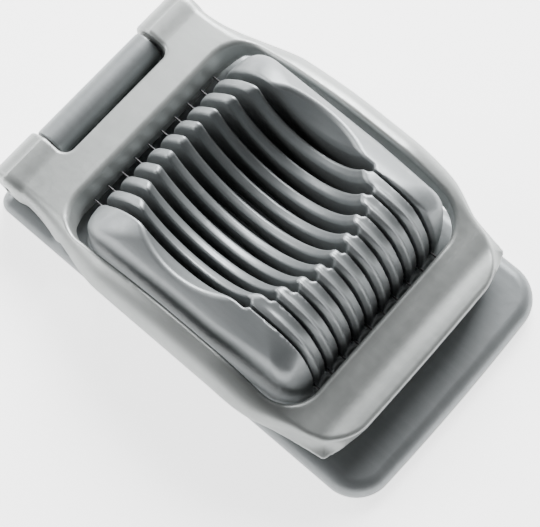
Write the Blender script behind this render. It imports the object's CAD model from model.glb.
"""Egg slicer: a cast base with a slotted egg cradle under a hinged cast frame strung with wires.

Both castings are worked out as distance fields in millimetres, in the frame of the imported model,
and meshed from them, so that every edge has the soft radius that a casting has. The wires stay as
packed. The pin, ferrules, clamp strips and screws are meshed here with the detail of real ones.
"""

import math

import bmesh
import bpy
import numpy as np
from mathutils import Matrix, Vector


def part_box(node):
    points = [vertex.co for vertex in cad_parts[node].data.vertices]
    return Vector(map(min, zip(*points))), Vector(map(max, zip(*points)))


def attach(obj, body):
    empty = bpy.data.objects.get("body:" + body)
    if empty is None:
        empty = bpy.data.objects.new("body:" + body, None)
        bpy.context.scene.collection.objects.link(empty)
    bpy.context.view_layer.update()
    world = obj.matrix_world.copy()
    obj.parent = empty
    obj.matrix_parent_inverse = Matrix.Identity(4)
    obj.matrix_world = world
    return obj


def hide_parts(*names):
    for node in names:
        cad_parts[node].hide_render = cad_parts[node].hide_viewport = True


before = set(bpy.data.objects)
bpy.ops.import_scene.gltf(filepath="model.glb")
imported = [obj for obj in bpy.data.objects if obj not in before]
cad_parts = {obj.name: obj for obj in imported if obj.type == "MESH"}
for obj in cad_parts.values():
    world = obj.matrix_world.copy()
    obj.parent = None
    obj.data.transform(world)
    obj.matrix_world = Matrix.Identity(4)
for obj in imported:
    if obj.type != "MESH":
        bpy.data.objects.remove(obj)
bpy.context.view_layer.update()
MM = 0.001


def node_box(node):
    """A CAD node's lowest and highest corners, in millimetres."""
    low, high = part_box(node)
    return low / MM, high / MM


# ---------------------------------------------------------------- sizes, in millimetres
_, base_high = node_box("base")
_, frame_high = node_box("wire_frame")
pin_low, pin_high = node_box("hinge_pin")
wire_low, wire_high = node_box("wire_01")
next_wire_low, _ = node_box("wire_02")

HINGE_X = (pin_low.x + pin_high.x) / 2
HINGE_Z = (pin_low.z + pin_high.z) / 2
PIN_R = (pin_high.z - pin_low.z) / 2
WIRE_Z = (wire_low.z + wire_high.z) / 2
WIRE_PITCH = next_wire_low.y - wire_low.y
WIRES = 10

# Base plate and hinge barrel, and how deep in the plate what stands on it starts
BASE_TOP = 6.0
BASE_HINGE_TOP = 4.6
BASE_REAR = HINGE_X - 2.0
BASE_FRONT = base_high.x
BASE_HALF = base_high.y
BASE_BOW = 1.0
BASE_REAR_CORNER = 4.0
BASE_FRONT_CORNER = 9.6
BASE_EDGE = 4.0
BASE_FOOT_EDGE = 0.7
ROOT_Z = 1.0
BARREL_R = 4.5
BARREL_HALF = 18.7
BARREL_EDGE = 0.6
BARREL_FOOT_HALF = 2.5
BARREL_FILLET = 0.8
PIN_CLEARANCE = 0.05
BORE_EDGE = 0.3

# Cradle: its outline, then the bowl, slots and slits cut into it
CRADLE_REAR = HINGE_X + 21.0
CRADLE_FRONT = HINGE_X + 92.8
CRADLE_TOP = base_high.z
CRADLE_HALF = 32.5
CRADLE_TAPER_X = HINGE_X + 66.0
CRADLE_TAPER = 1.8
CORNER_R = 9.5
NOSE_SLOPE, NOSE_R, NOSE_FOOT = math.radians(59.5), 8.0, 20.3
REAR_SLOPE, REAR_R, REAR_FOOT = math.radians(52.0), 10.0, 17.5
FOOT_BEND_R = 5.0
SHOULDER_W = 22.5
SHOULDER_DROP = 13.0
SHOULDER_EDGE = 3.5
CRADLE_EDGE = 2.5
CRADLE_FILLET = 1.6
BARREL_TO_PLATE = 1.2
BOWL_X = HINGE_X + 51.5
BOWL_Z = 41.5
BOWL_R = 26.0
BOWL_HALF = 30.0
BOWL_RIM = 1.6
SLOT_HALF = 1.2
SLOT_EDGE = 0.9
SLOT_END_R = 1.0
SLIT_HALF = 0.36
SLIT_EDGE = 0.3
SLOT_FLOOR = 8.0
SLOT_REACH = 27.5
SLOT_REACH_HALF = 31.1
GROOVE_DEPTH = 1.4
RIDGE_OFFSET = 1.45
RIDGE_W = 0.78

# Wire frame: plan, heights, then edges. The lip's end turn is the direction that its slanted
# ends face, along and across
LOBE_R = 5.5
LOBE_EDGE = 1.6
LOBE_FILLET = 2.0
YOKE_HALF = 34.2
RAIL_HALF = frame_high.y
LIP_FRONT = frame_high.x
LIP_NARROWING = 4.8
LIP_BOW = 0.8
LIP_DRAW_IN = 2.4
LIP_TOP_CORNER = 11.0
LIP_FOOT_CORNER = 1.6
LIP_END_TURN = (0.96, 0.28)
LIP_END_Y = 25.5
LIP_END_R = 2.0
FINGER_GAP_HALF = 26.5
OPENING_HALF = 34.0
OPENING_REAR = HINGE_X + 15.5
OPENING_FRONT = HINGE_X + 93.9
OPENING_EDGE = 1.3
WEB_FRONT = HINGE_X + 19.1
HINGE_SLOT_X = HINGE_X + 6.9
HINGE_SLOT_HALF = 19.4
HINGE_SLOT_CORNER = 3.0
BEHIND_FRAME = HINGE_X - 30.0
YOKE_TOP = 16.0
RAIL_CREST = frame_high.z
LIP_TOP = 17.8
CREASE_DEPTH, CREASE_BACK, CREASE_W = 0.7, 6.4, 2.6
WEB_BOTTOM = 8.6
RAIL_WAIST = 18.0
RAIL_BOTTOM = 13.5
COMB_BOTTOM = 9.2
LIP_BOTTOM = 14.9
SKIRT_BOTTOM = 12.0
YOKE_EDGE = 2.6
LIP_EDGE = 1.3
UNDER_EDGE = 0.9
RAIL_TUCK = 3.4
FRAME_BORE_EDGE = 0.35

# Stretches over which a section changes: where one starts, from the hinge unless its use
# says otherwise, and how long it is
HINGE_STEP = (-6.0, 6.0)
GROOVES_SINK = (20.0, 6.0)
YOKE_WIDENS = (6.5, 30.0)
RAILS_NARROW = (78.0, 28.0)
TOP_RISES = (2.0, 56.0)
TOP_FALLS = (70.0, 30.0)
WEB_ENDS = (-1.0, 4.0)
COMB_STARTS = (-2.2, 2.4)
LIP_STARTS = (6.6, 1.6)
ARCH_ENDS = (20.0, 12.0)
SKIRT_DROPS = (70.0, 20.0)
SKIRT_ENDS = (1.0, 4.0)
LIP_DRAWS_IN = (84.0, 14.0)
YOKE_TO_RAILS = (6.0, 26.0)
RAILS_TO_LIP = (78.0, 22.0)
WEB_LEANS = (12.5, 7.0)


# ---------------------------------------------------------------- distance fields
TINY = 1e-9


def ease(t):
    """0 below 0, 1 above 1, and a smooth step between."""
    t = np.clip(t, 0.0, 1.0)
    return t * t * (3.0 - 2.0 * t)


def over(x, stretch, origin=HINGE_X):
    """0 before a stretch of x, 1 past it, and a smooth step between."""
    start, length = stretch
    return ease((x - origin - start) / length)


def mix(a, b, t):
    return a + (b - a) * t


def meet(a, b, r):
    """What two shapes share, its outer edge rounded to radius r."""
    outside = np.hypot(np.maximum(a + r, 0), np.maximum(b + r, 0))
    return np.minimum(-r, np.maximum(a, b)) + outside


def join(a, b, r):
    """Two shapes together, with a fillet of radius r where they touch."""
    return -meet(-a, -b, r)


def cut(a, b, r):
    """Shape a without b, the new edge rounded to radius r."""
    return meet(a, -b, r)


def meet_oval(a, b, ra, rb):
    """As meet, with an edge that is ra wide on a's side and rb tall on b's."""
    u = np.maximum(a / ra + 1.0, 0.0)
    v = np.maximum(b / rb + 1.0, 0.0)
    oval = (np.hypot(u, v) - 1.0) * np.minimum(ra, rb)
    return np.where((u > 0) & (v > 0), oval, np.maximum(a, b))


def plan_rect(x, y, rear, front, half, rear_r, front_r):
    """A rectangle seen from above, with its own corner radius at the rear and at the front."""
    middle = (rear + front) / 2
    r = np.where(x > middle, front_r, rear_r)
    qx = np.abs(x - middle) - (front - rear) / 2 + r
    qy = np.abs(y) - half + r
    return np.hypot(np.maximum(qx, 0), np.maximum(qy, 0)) + np.minimum(np.maximum(qx, qy), 0) - r


def base_plate(x, y, z):
    """A round-edged plate with a bowed front, lower where it meets the hinge."""
    bowed = x + BASE_BOW * (y / BASE_HALF) ** 2
    plan = plan_rect(bowed, y, BASE_REAR, BASE_FRONT, BASE_HALF, BASE_REAR_CORNER, BASE_FRONT_CORNER)
    top = mix(BASE_HINGE_TOP, BASE_TOP, over(x, HINGE_STEP, CRADLE_REAR))
    return meet(meet(plan, z - top, BASE_EDGE), -z, BASE_FOOT_EDGE)


def egg_bowl(x, y, z):
    """An ellipsoid, longest across the cradle."""
    px, py, pz = (x - BOWL_X) / BOWL_R, y / BOWL_HALF, (z - BOWL_Z) / BOWL_R
    reach = np.sqrt(px * px + py * py + pz * pz) + TINY
    steep = np.sqrt((px / BOWL_R) ** 2 + (py / BOWL_HALF) ** 2 + (pz / BOWL_R) ** 2) + TINY
    return reach * (reach - 1.0) / steep


def slope(x, z, end, foot, angle):
    """A face that leans back by an angle, from the height foot at the station end."""
    return (x - end) * math.sin(angle) + (z - foot) * math.cos(angle)


def cradle_side(x, z):
    """The cradle seen from the side: a leaning rear, a level top and a steep nose."""
    nose = slope(x, z, CRADLE_FRONT, NOSE_FOOT, NOSE_SLOPE)
    back = slope(-x, z, -CRADLE_REAR, REAR_FOOT, REAR_SLOPE)
    front = meet(x - CRADLE_FRONT, nose, FOOT_BEND_R)
    rear = meet(CRADLE_REAR - x, back, FOOT_BEND_R)
    return meet(meet(z - CRADLE_TOP, front, NOSE_R), rear, REAR_R)


def wire_slots(x, y, z):
    """The slots under the bowl, which end short of the nose, and the slits on through it."""
    lane = np.clip(np.floor(y / WIRE_PITCH), -WIRES / 2, WIRES / 2 - 1)
    middle = (lane + 0.5) * WIRE_PITCH
    side = np.abs(y - middle)
    front = BOWL_X + SLOT_REACH * np.sqrt(1 - (middle / SLOT_REACH_HALF) ** 2)
    deep = meet(np.maximum(side - SLOT_HALF, SLOT_FLOOR - z), x - front, SLOT_END_R)
    return deep, np.maximum(side - SLIT_HALF, SLOT_FLOOR - z)


def nose_sink(x, y):
    """How far the nose lies below the cradle's outline, with a ridge on one side of each slit."""
    past_slit = np.mod(y - WIRE_PITCH / 2, WIRE_PITCH)
    ridge = np.exp(-(((past_slit - RIDGE_OFFSET) / RIDGE_W) ** 2))
    last = (WIRES - 1) / 2 * WIRE_PITCH
    among = (y > -last) & (y < last + RIDGE_OFFSET)
    return GROOVE_DEPTH * (1 - ridge) * among * over(x, GROOVES_SINK, BOWL_X)


def shoulders(y, z):
    """The cradle's long sides: upright, then an oval over onto the top."""
    u = np.maximum((np.abs(y) - CRADLE_HALF + SHOULDER_W) / SHOULDER_W, 0)
    v = np.maximum((z - CRADLE_TOP + SHOULDER_DROP) / SHOULDER_DROP, 0)
    reach = np.hypot(u, v) + TINY
    steep = np.hypot(u / SHOULDER_W, v / SHOULDER_DROP) + TINY
    oval = reach * (reach - 1.0) / steep
    flat = np.maximum(np.abs(y) - CRADLE_HALF, z - CRADLE_TOP)
    return np.where((u > 0) & (v > 0), oval, flat)


def cradle(x, y, z):
    """The loaf that holds the egg, narrower towards the nose, with its bowl and slots."""
    tapered = (x - CRADLE_TAPER_X) / (CRADLE_FRONT - CORNER_R - CRADLE_TAPER_X)
    half = CRADLE_HALF - CRADLE_TAPER * np.clip(tapered, 0, 1)
    plan = plan_rect(x, y, CRADLE_REAR, CRADLE_FRONT, half, CORNER_R, CORNER_R)
    side = cradle_side(x, z) + nose_sink(x, y)
    loaf = meet(meet(side, shoulders(y, z), SHOULDER_EDGE), plan, CRADLE_EDGE)
    loaf = cut(loaf, egg_bowl(x, y, z), BOWL_RIM)
    slots, slits = wire_slots(x, y, z)
    loaf = cut(cut(loaf, slots, SLOT_EDGE), slits, SLIT_EDGE)
    return np.maximum(loaf, ROOT_Z - z)


def hinge_tube(x, z, r):
    return np.hypot(x - HINGE_X, z - HINGE_Z) - r


def base_field(x, y, z):
    """The base casting: plate, cradle and the hinge barrel on its foot."""
    barrel = meet(hinge_tube(x, z, BARREL_R), np.abs(y) - BARREL_HALF, BARREL_EDGE)
    behind = np.abs(x - BASE_REAR - BARREL_FOOT_HALF) - BARREL_FOOT_HALF
    foot = np.maximum(behind, np.abs(y) - BARREL_HALF)
    foot = np.maximum(np.maximum(foot, z - HINGE_Z), ROOT_Z - z)
    solid = join(base_plate(x, y, z), cradle(x, y, z), CRADLE_FILLET)
    solid = join(solid, join(foot, barrel, BARREL_FILLET), BARREL_TO_PLATE)
    return cut(solid, hinge_tube(x, z, PIN_R + PIN_CLEARANCE), BORE_EDGE)


# In the frame's functions, ay is the distance from the middle line to either side.
def frame_half(x):
    """Half of the frame's width: narrow at the yoke, full along the rails, drawn in at the lip."""
    wide = mix(YOKE_HALF, RAIL_HALF, over(x, YOKE_WIDENS))
    return wide - LIP_NARROWING * over(x, RAILS_NARROW)


def frame_top(x):
    """The rails' arched back, with a shallow crease across the lip."""
    arch = (RAIL_CREST - YOKE_TOP) * over(x, TOP_RISES)
    fall = (RAIL_CREST - LIP_TOP) * over(x, TOP_FALLS)
    crease = CREASE_DEPTH * np.exp(-(((x - LIP_FRONT + CREASE_BACK) / CREASE_W) ** 2))
    return YOKE_TOP + arch - fall - crease


def frame_bottom(x, ay):
    """The underside: web, rails, front bar, and a lip that arches up between its skirts."""
    rear = mix(WEB_BOTTOM, RAIL_BOTTOM, over(x, WEB_ENDS, WEB_FRONT))
    bar = mix(rear, COMB_BOTTOM, over(x, COMB_STARTS, OPENING_FRONT))
    arch = mix(LIP_BOTTOM, SKIRT_BOTTOM, over(ay, ARCH_ENDS, 0.0))
    bar = mix(bar, arch, over(x, LIP_STARTS, OPENING_FRONT))
    skirt = mix(rear, SKIRT_BOTTOM, over(x, SKIRT_DROPS))
    return mix(bar, skirt, over(ay, SKIRT_ENDS, FINGER_GAP_HALF))


def frame_plan(x, ay, z):
    """Seen from above: square corners at the foot of the lip, drawn in and rounder at its top."""
    along, across = LIP_END_TURN
    ends = along * (x - LIP_FRONT) + across * (ay - LIP_END_Y)
    side = ay - frame_half(x)
    foot = meet(side, meet(x - LIP_FRONT, ends, LIP_END_R), LIP_FOOT_CORNER)
    draw_in = LIP_DRAW_IN * over(x, LIP_DRAWS_IN)
    bowed = x + LIP_BOW * (ay / RAIL_HALF) ** 2 - LIP_FRONT
    top = meet(side + draw_in, bowed, LIP_TOP_CORNER)
    rise = np.clip((z - SKIRT_BOTTOM) / (LIP_TOP - SKIRT_BOTTOM), 0, 1)
    return mix(foot, top, 1 - (1 - rise) ** 2)


def frame_field(x, y, z):
    """The frame casting: an outline with rolled edges, less the opening, hinge slot and pin bore."""
    ay = np.abs(y)
    plan = frame_plan(x, ay, z)
    to_lip = over(x, RAILS_TO_LIP)
    from_yoke = over(x, YOKE_TO_RAILS)
    edge_w = mix(mix(YOKE_EDGE, RAIL_HALF - OPENING_HALF, from_yoke), LIP_EDGE, to_lip)
    edge_h = mix(mix(YOKE_EDGE, RAIL_CREST - RAIL_WAIST, from_yoke), LIP_EDGE, to_lip)
    body = meet_oval(plan, z - frame_top(x), edge_w, edge_h)
    under = frame_bottom(x, ay) - z
    tuck_w = mix(mix(UNDER_EDGE, RAIL_TUCK, from_yoke), UNDER_EDGE, to_lip)
    tuck_h = mix(mix(UNDER_EDGE, RAIL_WAIST - RAIL_BOTTOM, from_yoke), UNDER_EDGE, to_lip)
    body = np.maximum(meet(body, under, UNDER_EDGE), meet_oval(plan, under, tuck_w, tuck_h))
    body = np.maximum(body, HINGE_X - x)
    lobes = meet(hinge_tube(x, z, LOBE_R), ay - YOKE_HALF, LOBE_EDGE)
    solid = join(body, lobes, LOBE_FILLET)
    rear = mix(WEB_FRONT, OPENING_REAR, over(z, WEB_LEANS, 0.0))
    opening = plan_rect(x, y, rear, OPENING_FRONT, OPENING_HALF, CORNER_R, CORNER_R)
    solid = cut(solid, opening, OPENING_EDGE)
    slot = plan_rect(
        x, y, BEHIND_FRAME, HINGE_SLOT_X, HINGE_SLOT_HALF, HINGE_SLOT_CORNER, HINGE_SLOT_CORNER)
    solid = cut(solid, slot, UNDER_EDGE)
    return cut(solid, hinge_tube(x, z, PIN_R), FRAME_BORE_EDGE)


# ---------------------------------------------------------------- meshing a field
GRADIENT_STEP = 0.04
LONGEST_MOVE = 0.4
LEAST_SLOPE2 = 0.05
MARGIN_STEPS = 2.3
SLAB = 24


def field_gradient(field, points):
    """The field's slope along each axis at each point."""
    shift = np.eye(3) * GRADIENT_STEP
    parts = [field(*(points + s).T) - field(*(points - s).T) for s in shift]
    return np.stack(parts, 1) / (2 * GRADIENT_STEP)


def settle(field, points, rounds=3):
    """Moves points onto the field's surface."""
    for _ in range(rounds):
        steep = field_gradient(field, points)
        length2 = np.maximum((steep * steep).sum(1), LEAST_SLOPE2)
        move = -(field(*points.T) / length2)[:, None] * steep
        points = points + np.clip(move, -LONGEST_MOVE, LONGEST_MOVE)
    return points


def surface_net(field, low, high, step):
    """Points and four-sided faces on the surface where the field is zero."""
    low = np.array(low, float) - MARGIN_STEPS * step
    counts = np.ceil((np.array(high, float) + MARGIN_STEPS * step - low) / step).astype(int) + 1
    xs, ys, zs = (low[a] + step * np.arange(counts[a]) for a in range(3))
    values = np.empty(counts, np.float32)
    for start in range(0, counts[0], SLAB):
        x = xs[start:start + SLAB, None, None]
        x, y, z = np.broadcast_arrays(x, ys[None, :, None], zs[None, None, :])
        values[start:start + SLAB] = field(x, y, z)
    inside = values < 0
    cells = counts - 1
    strides = np.array([cells[1] * cells[2], cells[2], 1])
    total = np.zeros((cells.prod(), 3))
    hits = np.zeros(cells.prod(), int)
    quads = []
    # Each grid edge that crosses the surface gives one face, between the four cells round it,
    # and each cell's point is the mean of the crossings on its edges.
    for axis in range(3):
        ahead = [slice(None)] * 3
        behind = [slice(None)] * 3
        ahead[axis], behind[axis] = slice(1, None), slice(None, -1)
        a, b = values[tuple(behind)], values[tuple(ahead)]
        crossed = inside[tuple(behind)] != inside[tuple(ahead)]
        at = np.argwhere(crossed)
        share = a[crossed] / (a[crossed] - b[crossed])
        where = at.astype(float)
        where[:, axis] += share
        u, v = (axis + 1) % 3, (axis + 2) % 3
        ring = []
        for du, dv in ((1, 1), (0, 1), (0, 0), (1, 0)):
            cell = at.copy()
            cell[:, u] -= du
            cell[:, v] -= dv
            flat = cell @ strides
            ring.append(flat)
            for k in range(3):
                total[:, k] += np.bincount(flat, where[:, k], len(hits))
            hits += np.bincount(flat, minlength=len(hits))
        ring = np.stack(ring, 1)
        outward = a[crossed] < 0
        quads.append(np.where(outward[:, None], ring, ring[:, ::-1]))
    used = np.flatnonzero(hits)
    index = np.full(len(hits), -1)
    index[used] = np.arange(len(used))
    points = low + step * total[used] / hits[used, None]
    return points, index[np.concatenate(quads)]


def new_object(name, mesh):
    piece = bpy.data.objects.new(name, mesh)
    bpy.context.scene.collection.objects.link(piece)
    return piece


def applied(piece):
    """Leaves the piece with its modifiers' result as its mesh."""
    shown = piece.evaluated_get(bpy.context.evaluated_depsgraph_get())
    mesh = bpy.data.meshes.new_from_object(shown)
    piece.modifiers.clear()
    piece.data = mesh
    return mesh


def cast_piece(name, field, low, high, step, keep):
    """A casting meshed from its field, thinned to a share of its faces, shaded by the field."""
    points, quads = surface_net(field, low, high, step)
    points = settle(field, points)
    mesh = bpy.data.meshes.new(name)
    mesh.vertices.add(len(points))
    mesh.vertices.foreach_set("co", (points * MM).ravel())
    mesh.loops.add(quads.size)
    mesh.loops.foreach_set("vertex_index", quads.ravel().astype(np.int32))
    mesh.polygons.add(len(quads))
    mesh.polygons.foreach_set("loop_start", np.arange(0, quads.size, 4, dtype=np.int32))
    mesh.update(calc_edges=True)
    mesh.validate()
    piece = new_object(name, mesh)
    thin = piece.modifiers.new("thin", "DECIMATE")
    thin.ratio = keep
    mesh = applied(piece)
    mesh.name = name
    co = np.empty(len(mesh.vertices) * 3)
    mesh.vertices.foreach_get("co", co)
    normals = field_gradient(field, co.reshape(-1, 3) / MM)
    normals /= np.maximum(np.linalg.norm(normals, axis=1), TINY)[:, None]
    mesh.polygons.foreach_set("use_smooth", np.ones(len(mesh.polygons), bool))
    mesh.normals_split_custom_set_from_vertices(normals)
    return piece


# ---------------------------------------------------------------- small pieces
SHARP_ANGLE = math.radians(35)


def mesh_piece(name, bm):
    """An object from a mesh drawn in millimetres, smooth but for its sharp edges."""
    mesh = bpy.data.meshes.new(name)
    bmesh.ops.recalc_face_normals(bm, faces=bm.faces)
    bmesh.ops.scale(bm, vec=(MM, MM, MM), verts=bm.verts)
    bm.to_mesh(mesh)
    bm.free()
    mesh.polygons.foreach_set("use_smooth", np.ones(len(mesh.polygons), bool))
    mesh.set_sharp_from_angle(angle=SHARP_ANGLE)
    return new_object(name, mesh)


def lathe(bm, profile, matrix, sides=48):
    """Turns a closed profile of (radius, height) points about the local Z axis."""
    rings = []
    for radius, height in profile:
        if radius < TINY:
            rings.append([bm.verts.new(matrix @ Vector((0, 0, height)))])
            continue
        turns = [2 * math.pi * i / sides for i in range(sides)]
        spots = [Vector((radius * math.cos(t), radius * math.sin(t), height)) for t in turns]
        rings.append([bm.verts.new(matrix @ p) for p in spots])
    for a, b in zip(rings, rings[1:]):
        for i in range(sides):
            j = (i + 1) % sides
            corners = [a[i % len(a)], a[j % len(a)], b[j % len(b)], b[i % len(b)]]
            unique = list(dict.fromkeys(corners))
            if len(unique) > 2:
                bm.faces.new(unique)


def make_pin():
    """The hinge pin, with a chamfer and a centre dimple at each end."""
    half, bevel, dimple_r, chamfer = pin_high.y, 0.35, 0.45, 0.3
    end = [(0, half - bevel), (dimple_r, half), (PIN_R - chamfer, half), (PIN_R, half - bevel)]
    profile = end + [(r, -h) for r, h in reversed(end)]
    bm = bmesh.new()
    along_y = Matrix.Translation((HINGE_X, 0, HINGE_Z)) @ Matrix.Rotation(math.pi / 2, 4, "X")
    lathe(bm, profile, along_y)
    return mesh_piece("hinge_pin_turned", bm)


def make_ferrules(node, name):
    """Crimped tubes on the wire ends, each with a pressed waist."""
    low, high = node_box(node)
    length, outer, inner = high.x - low.x, (high.z - low.z) / 2, (wire_high.z - wire_low.z) / 2
    half_crimp = [(0.0, 0.9), (0.08, 1.0), (0.3, 1.0), (0.42, 0.86)]
    crimp = half_crimp + [(1 - along, width) for along, width in reversed(half_crimp)]
    outline = [(outer * width, length * along) for along, width in crimp]
    profile = [(inner, 0)] + outline + [(inner, length), (inner, 0)]
    bm = bmesh.new()
    for i in range(WIRES):
        y = (i - (WIRES - 1) / 2) * WIRE_PITCH
        place = Matrix.Translation((low.x, y, WIRE_Z)) @ Matrix.Rotation(math.pi / 2, 4, "Y")
        lathe(bm, profile, place, 24)
    bmesh.ops.remove_doubles(bm, verts=bm.verts, dist=1e-4)
    return mesh_piece(name, bm)


def make_clamp(node, name):
    """A pressed strip with round corners and a bevel round its lower face."""
    low, high = node_box(node)
    half_w, half_l, thick = (high.x - low.x) / 2, high.y, high.z - low.z
    end_r, edge, arc_steps = half_w * 0.92, 0.22, 8
    corners = []
    for cx, cy, start in ((1, 1, 0), (-1, 1, 90), (-1, -1, 180), (1, -1, 270)):
        for i in range(arc_steps + 1):
            t = math.radians(start + 90 * i / arc_steps)
            x = cx * (half_w - end_r) + end_r * math.cos(t)
            y = cy * (half_l - end_r) + end_r * math.sin(t)
            corners.append((x, y))
    centre = Vector(((low.x + high.x) / 2, 0, low.z))
    bm = bmesh.new()
    face = bm.faces.new([bm.verts.new(centre + Vector((x, y, thick))) for x, y in corners])
    body = bmesh.ops.extrude_face_region(bm, geom=[face])
    lower = [v for v in body["geom"] if isinstance(v, bmesh.types.BMVert)]
    bmesh.ops.translate(bm, vec=(0, 0, -thick), verts=lower)
    rim = [e for e in bm.edges if all(v in lower for v in e.verts)]
    bmesh.ops.bevel(bm, geom=rim, offset=edge, segments=2, affect="EDGES", profile=0.5)
    return mesh_piece(name, bm)


def make_screws(node, name):
    """Domed screws with a cross recess, seen under the frame."""
    low, high = node_box(node)
    head_r, tall = (high.x - low.x) / 2, high.z - low.z
    shank_r, head_h, tip = 1.0, 0.9, 0.3
    cross_l, cross_w, cross_deep = 2.2, 0.5, 0.9
    x, y = (low.x + high.x) / 2, high.y - head_r
    spots = [Matrix.Translation((x, side * y, low.z)) for side in (-1, 1)]
    dome = [(0, 0.0), (head_r * 0.5, 0.05), (head_r * 0.82, 0.22), (head_r, 0.5), (head_r, head_h)]
    shank = [(shank_r, head_h), (shank_r, tall - tip), (shank_r - tip, tall), (0, tall)]
    bm = bmesh.new()
    for spot in spots:
        lathe(bm, dome + shank, spot)
    screws = mesh_piece(name, bm)
    tools = bmesh.new()
    for spot in spots:
        for size in ((cross_l, cross_w, cross_deep), (cross_w, cross_l, cross_deep)):
            bmesh.ops.create_cube(tools, size=1, matrix=spot @ Matrix.Diagonal((*size, 1)))
    cross = mesh_piece("recess_tool", tools)
    recess = screws.modifiers.new("recess", "BOOLEAN")
    recess.object = cross
    recess.solver = "EXACT"
    recess.use_self = True
    applied(screws)
    bpy.data.objects.remove(cross)
    screws.data.set_sharp_from_angle(angle=SHARP_ANGLE)
    return screws


# ---------------------------------------------------------------- materials
FLOOR_GLOW = 2.4


def set_range(node, *numbers):
    for key, number in zip(("From Min", "From Max", "To Min", "To Max"), numbers):
        node.inputs[key].default_value = number


class Shader:
    """A material's nodes, with its texture space in millimetres."""

    def __init__(self, name, colour, metallic, roughness):
        self.material = bpy.data.materials.new(name)
        self.material.use_nodes = True
        self.tree = self.material.node_tree
        self.bsdf = self.tree.nodes["Principled BSDF"]
        self.bsdf.inputs["Metallic"].default_value = metallic
        self.bsdf.inputs["Roughness"].default_value = roughness
        self.bsdf.inputs["Base Color"].default_value = (*colour, 1)
        self.material.diffuse_color = (*colour, 1)
        place = self.add("ShaderNodeTexCoord")
        self.space = self.add("ShaderNodeMapping")
        self.space.inputs["Scale"].default_value = (1 / MM, 1 / MM, 1 / MM)
        self.link(place.outputs["Object"], self.space.inputs["Vector"])
        self.vector = self.space.outputs["Vector"]

    def add(self, kind, **values):
        node = self.tree.nodes.new(kind)
        for key, value in values.items():
            setattr(node, key, value)
        return node

    def link(self, source, target):
        self.tree.links.new(source, target)

    def stretched(self, scale):
        """The texture space drawn out along an axis, for brushed and drawn metal."""
        node = self.add("ShaderNodeMapping")
        node.inputs["Scale"].default_value = scale
        self.link(self.vector, node.inputs["Vector"])
        return node.outputs["Vector"]

    def noise(self, per_mm, detail=2.0, roughness=0.5, vector=None):
        node = self.add("ShaderNodeTexNoise")
        node.inputs["Scale"].default_value = per_mm
        node.inputs["Detail"].default_value = detail
        node.inputs["Roughness"].default_value = roughness
        self.link(vector or self.vector, node.inputs["Vector"])
        return node.outputs["Fac"]

    def spread(self, value, low, high, from_low=0.0, from_high=1.0):
        """A value between from_low and from_high, carried over to between low and high."""
        node = self.add("ShaderNodeMapRange")
        set_range(node, from_low, from_high, low, high)
        self.link(value, node.inputs["Value"])
        return node.outputs["Result"]

    def sum(self, a, b):
        node = self.add("ShaderNodeMath", operation="ADD")
        self.link(a, node.inputs[0])
        if isinstance(b, (int, float)):
            node.inputs[1].default_value = b
        else:
            self.link(b, node.inputs[1])
        return node.outputs[0]

    def tint(self, factor, colour_a, colour_b):
        node = self.add("ShaderNodeMix", data_type="RGBA")
        self.link(factor, node.inputs["Factor"])
        for socket, colour in ((node.inputs[6], colour_a), (node.inputs[7], colour_b)):
            if isinstance(colour, tuple):
                socket.default_value = (*colour, 1)
            else:
                self.link(colour, socket)
        return node.outputs[2]

    def edges(self, low, high):
        """1 on outer edges and 0 on flat and hollow ground."""
        geometry = self.add("ShaderNodeNewGeometry")
        return self.spread(geometry.outputs["Pointiness"], 0.0, 1.0, low, high)

    def bump(self, height, distance_mm, under=None):
        node = self.add("ShaderNodeBump")
        node.inputs["Distance"].default_value = distance_mm * MM
        node.inputs["Strength"].default_value = 1.0
        self.link(height, node.inputs["Height"])
        if under:
            self.link(under, node.inputs["Normal"])
        return node.outputs["Normal"]


def cast_aluminium(name, colour, worn, dull, metallic, roughness):
    """Satin casting: fine grain, a soft uneven skin, and edges rubbed brighter."""
    s = Shader(name, colour, metallic, roughness)
    blotch = s.noise(0.055, 3.0)
    grain = s.noise(2.6, 3.0, 0.6)
    skin = s.noise(0.55, 3.0, 0.55)
    flow = s.noise(0.5, 2.0, 0.5, s.stretched((0.12, 1.0, 1.0)))
    body = s.tint(s.spread(blotch, 0.0, 1.0, 0.3, 0.7), dull, colour)
    body = s.tint(s.spread(flow, 0.0, 0.2, 0.45, 0.75), body, worn)
    body = s.tint(s.spread(s.edges(0.52, 0.60), 0.0, 0.6), body, worn)
    speck = s.spread(grain, 0.0, 0.3, 0.56, 0.75)
    s.link(s.tint(speck, body, dull), s.bsdf.inputs["Base Color"])
    broad = s.spread(skin, -0.03, 0.03, 0.3, 0.7)
    fine = s.spread(grain, -0.05, 0.05, 0.3, 0.7)
    uneven = s.sum(broad, fine)
    s.link(s.sum(uneven, roughness), s.bsdf.inputs["Roughness"])
    soft = s.bump(skin, 0.012)
    s.link(s.bump(grain, 0.010, soft), s.bsdf.inputs["Normal"])
    return s.material


def drawn_steel(name, colour, streak_scale, roughness):
    """Smooth steel with fine lines along its length."""
    s = Shader(name, colour, 1.0, roughness)
    lines = s.noise(6.0, 3.0, 0.6, s.stretched(streak_scale))
    tone = s.spread(s.noise(0.4, 2.0), 0.0, 1.0, 0.3, 0.7)
    dark = tuple(c * 0.78 for c in colour)
    uneven = s.spread(lines, roughness - 0.08, roughness + 0.12, 0.25, 0.75)
    s.link(s.tint(tone, dark, colour), s.bsdf.inputs["Base Color"])
    s.link(uneven, s.bsdf.inputs["Roughness"])
    s.link(s.bump(lines, 0.004), s.bsdf.inputs["Normal"])
    return s.material


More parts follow.
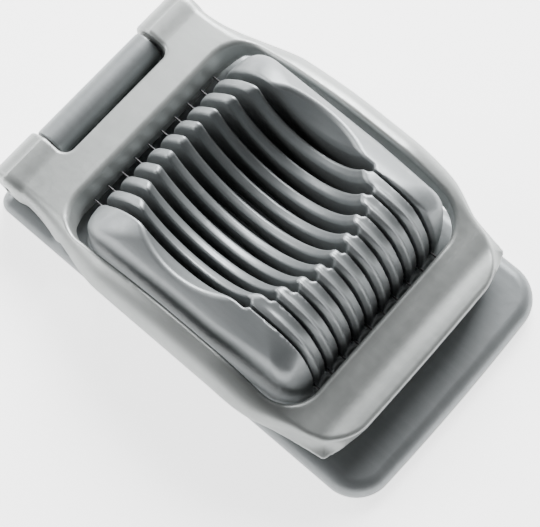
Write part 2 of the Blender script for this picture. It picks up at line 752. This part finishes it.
def pale_floor():
    """White paper that also glows, so that it stays white under the soft light."""
    s = Shader("floor_paper", (0.93, 0.93, 0.93), 0.0, 0.85)
    fibre = s.noise(0.8, 4.0, 0.6)
    s.link(s.tint(fibre, (0.92, 0.92, 0.92), (0.94, 0.94, 0.94)), s.bsdf.inputs["Base Color"])
    s.bsdf.inputs["Emission Color"].default_value = (1, 1, 1, 1)
    s.bsdf.inputs["Emission Strength"].default_value = FLOOR_GLOW
    return s.material


def dress(piece, material):
    piece.data.materials.clear()
    piece.data.materials.append(material)


# ---------------------------------------------------------------- the object
frame_metal = cast_aluminium(
    "cast_frame_satin", colour=(0.31, 0.325, 0.32), worn=(0.39, 0.405, 0.40),
    dull=(0.27, 0.285, 0.28), metallic=0.6, roughness=0.42)
base_metal = cast_aluminium(
    "cast_base_satin", colour=(0.225, 0.24, 0.245), worn=(0.30, 0.315, 0.32),
    dull=(0.19, 0.205, 0.21), metallic=0.6, roughness=0.45)
pin_steel = drawn_steel("turned_steel", (0.62, 0.62, 0.61), (1.0, 0.08, 1.0), 0.28)
plain_steel = drawn_steel("pressed_steel", (0.58, 0.58, 0.57), (1.0, 0.1, 1.0), 0.34)
wire_steel = drawn_steel("drawn_wire", (0.08, 0.08, 0.083), (0.05, 1.0, 1.0), 0.5)

GRID_STEP = 0.5
castings = (
    ("base_casting", "base", "base", "cast_base", base_field, base_metal, 0.34),
    ("frame_casting", "wire_frame", "frame", "cast_frame", frame_field, frame_metal, 0.45),
)
for name, node, body, slot, field, metal, keep in castings:
    casting = cast_piece(name, field, *node_box(node), GRID_STEP, keep)
    dress(casting, metal)
    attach(casting, body)
    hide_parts(node)

fittings = (
    (make_pin(), "hinge_pin", pin_steel),
    (make_ferrules("rear_ferrules", "rear_ferrules_crimped"), "rear_ferrules", plain_steel),
    (make_ferrules("front_ferrules", "front_ferrules_crimped"), "front_ferrules", plain_steel),
    (make_clamp("rear_clamp", "rear_clamp_strip"), "rear_clamp", plain_steel),
    (make_clamp("front_clamp", "front_clamp_strip"), "front_clamp", plain_steel),
    (make_screws("rear_clamp_screws", "rear_screws_cross"), "rear_clamp_screws", plain_steel),
    (make_screws("front_clamp_screws", "front_screws_cross"), "front_clamp_screws", plain_steel),
)
for piece, node, metal in fittings:
    dress(piece, metal)
    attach(piece, "frame")
    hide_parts(node)

for i in range(1, WIRES + 1):
    dress(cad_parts[f"wire_{i:02d}"], wire_steel)


# ---------------------------------------------------------------- stage, lights and camera
STAGE_CENTRE = (0.0, 0.0, 0.01)
LIGHT_DISTANCE = 0.9
FLOOR_HALF_MM = 3000
BRIGHT_SIDE = (-0.87, 0.5, 0.0)
TENT_STRENGTH = 1.6
SIDE_REACH = 0.7
SHADE, GLOW = 0.22, 1.1


def area_light(name, place, aim, size, watts):
    data = bpy.data.lights.new(name, "AREA")
    data.shape = "RECTANGLE"
    data.size, data.size_y = size
    data.energy = watts
    light = bpy.data.objects.new(name, data)
    bpy.context.scene.collection.objects.link(light)
    light.location = place
    light.rotation_euler = (Vector(place) - Vector(aim)).to_track_quat("Z", "Y").to_euler()


def orbit(azimuth, elevation, distance, target):
    """The point at a distance from the target, in a direction given in degrees."""
    a, e = math.radians(azimuth), math.radians(elevation)
    back = Vector((math.cos(a) * math.cos(e), math.sin(a) * math.cos(e), math.sin(e)))
    return Vector(target) + back * distance


def add_camera(target, azimuth, elevation, roll, distance, lens):
    data = bpy.data.cameras.new("camera")
    data.lens = lens
    data.sensor_width = 36.0
    data.clip_start, data.clip_end = 0.01, 20.0
    camera = bpy.data.objects.new("camera", data)
    bpy.context.scene.collection.objects.link(camera)
    place = orbit(azimuth, elevation, distance, target)
    aim = (place - Vector(target)).to_track_quat("Z", "Y").to_matrix().to_4x4()
    rolled = Matrix.Rotation(math.radians(roll), 4, "Z")
    camera.matrix_world = Matrix.Translation(place) @ aim @ rolled
    bpy.context.scene.camera = camera


def add_floor():
    bm = bmesh.new()
    bmesh.ops.create_grid(bm, x_segments=1, y_segments=1, size=FLOOR_HALF_MM)
    floor = mesh_piece("floor", bm)
    dress(floor, pale_floor())


def studio_world():
    """A light tent: bright round the horizon, dim overhead, and dimmer still on the lip's side."""
    world = bpy.data.worlds.new("studio")
    bpy.context.scene.world = world
    world.use_nodes = True
    nodes, link = world.node_tree.nodes, world.node_tree.links.new
    background = nodes["Background"]
    sky = nodes.new("ShaderNodeTexCoord").outputs["Generated"]

    split = nodes.new("ShaderNodeSeparateXYZ")
    ramp = nodes.new("ShaderNodeValToRGB")
    bright, dim = ramp.color_ramp.elements
    bright.position, bright.color = 0.15, (1, 1, 1, 1)
    dim.position, dim.color = 0.85, (0.10, 0.10, 0.103, 1)
    link(sky, split.inputs[0])
    link(split.outputs["Z"], ramp.inputs["Fac"])
    link(ramp.outputs["Color"], background.inputs["Color"])

    behind = nodes.new("ShaderNodeVectorMath")
    behind.operation = "DOT_PRODUCT"
    behind.inputs[1].default_value = BRIGHT_SIDE
    side = nodes.new("ShaderNodeMapRange")
    set_range(side, -SIDE_REACH, SIDE_REACH, SHADE, GLOW)
    level = nodes.new("ShaderNodeMath")
    level.operation = "MULTIPLY"
    level.inputs[1].default_value = TENT_STRENGTH
    link(sky, behind.inputs[0])
    link(behind.outputs["Value"], side.inputs["Value"])
    link(side.outputs["Result"], level.inputs[0])
    link(level.outputs["Value"], background.inputs["Strength"])


add_floor()
for name, azimuth, elevation, size, watts in (
    ("key", 118, 33, (0.6, 0.45), 30),
    ("fill", 200, 30, (0.5, 0.4), 6),
):
    place = orbit(azimuth, elevation, LIGHT_DISTANCE, STAGE_CENTRE)
    area_light(name, place, STAGE_CENTRE, size, watts)
studio_world()

add_camera(
    target=(0.0053, -0.0055, 0.010), azimuth=-52.72, elevation=71.87, roll=3.85,
    distance=0.4086, lens=108.87)
